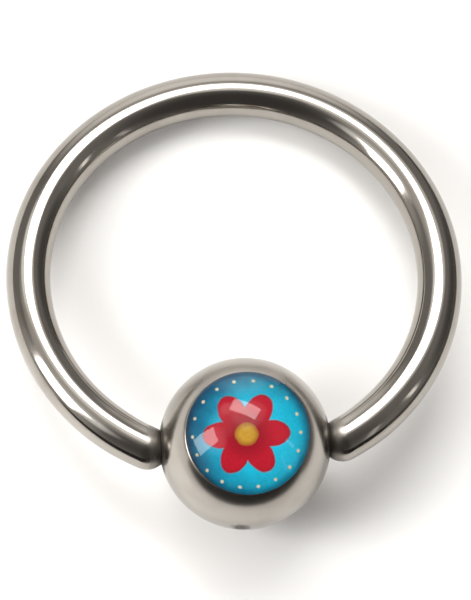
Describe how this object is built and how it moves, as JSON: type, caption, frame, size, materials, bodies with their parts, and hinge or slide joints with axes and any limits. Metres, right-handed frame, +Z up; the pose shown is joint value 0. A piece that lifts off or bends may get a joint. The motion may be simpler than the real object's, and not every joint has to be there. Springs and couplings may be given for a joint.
{
  "type": "captive bead ring",
  "caption": "Open steel wire hoop with round tips that pinch a polished ball between them; the ball holds a round picture under a clear dome and turns about its dimples.",
  "frame": {"origin": "on the floor, at the middle of the bounding box's base, with the ring lying on its side", "axes": "+Z up; +Y along the ring's length, from the ball to the wire opposite it; +X along the line through the ball's two dimples"},
  "size_m": [0.0164, 0.0176, 0.0061],
  "materials": {
    "hoop_steel": "mirror polished surgical steel",
    "bead_steel": "mirror polished surgical steel",
    "picture": "colour print of a red flower on blue",
    "clear_resin": "clear cast resin, glossy"
  },
  "bodies": {
    "ring": {"hoop": "hoop_steel"},
    "ball": {"bead": "bead_steel", "picture_disc": "picture", "clear_dome": "clear_resin"}
  },
  "joints": [
    {"name": "bead_spin", "type": "hinge", "parent": "ring", "child": "ball", "pos_m": [0, -0.00575, 0.00305], "axis": [1, 0, 0], "continuous": true}
  ]
}
